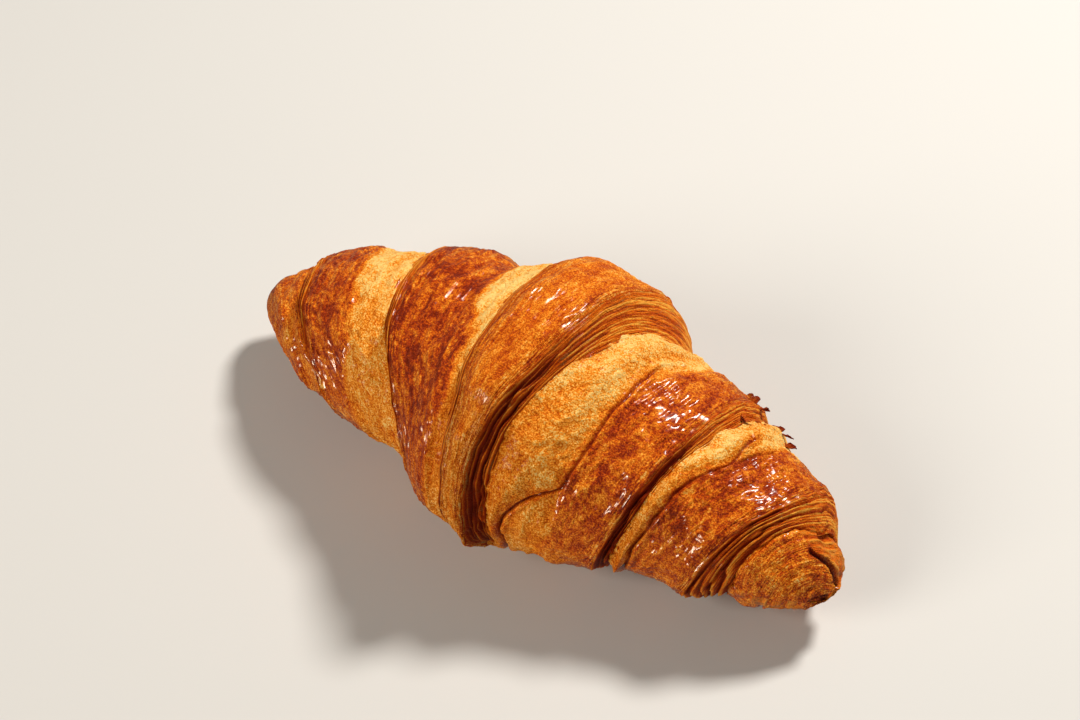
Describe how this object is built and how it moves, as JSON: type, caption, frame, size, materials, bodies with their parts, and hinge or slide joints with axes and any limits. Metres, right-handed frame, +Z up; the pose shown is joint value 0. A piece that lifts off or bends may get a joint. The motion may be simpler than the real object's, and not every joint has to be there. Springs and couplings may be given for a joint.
{
  "type": "croissant",
  "caption": "Plain baked croissant: a rolled triangle of laminated dough, thick in the middle and stepping down in wraps to two blunt tips.",
  "frame": {"origin": "middle of the bounding box at its bottom, on the surface that the croissant rests on", "axes": "+X along the roll towards the blunter tip, -Y its front where the dough's point is tucked under, +Z up"},
  "size_m": [0.1634, 0.0786, 0.0616],
  "materials": {
    "crust": "egg-glazed baked crust, glossy brown on the wraps, matt golden on the strips between them"
  },
  "bodies": {
    "root": {"croissant": "crust"}
  },
  "joints": []
}
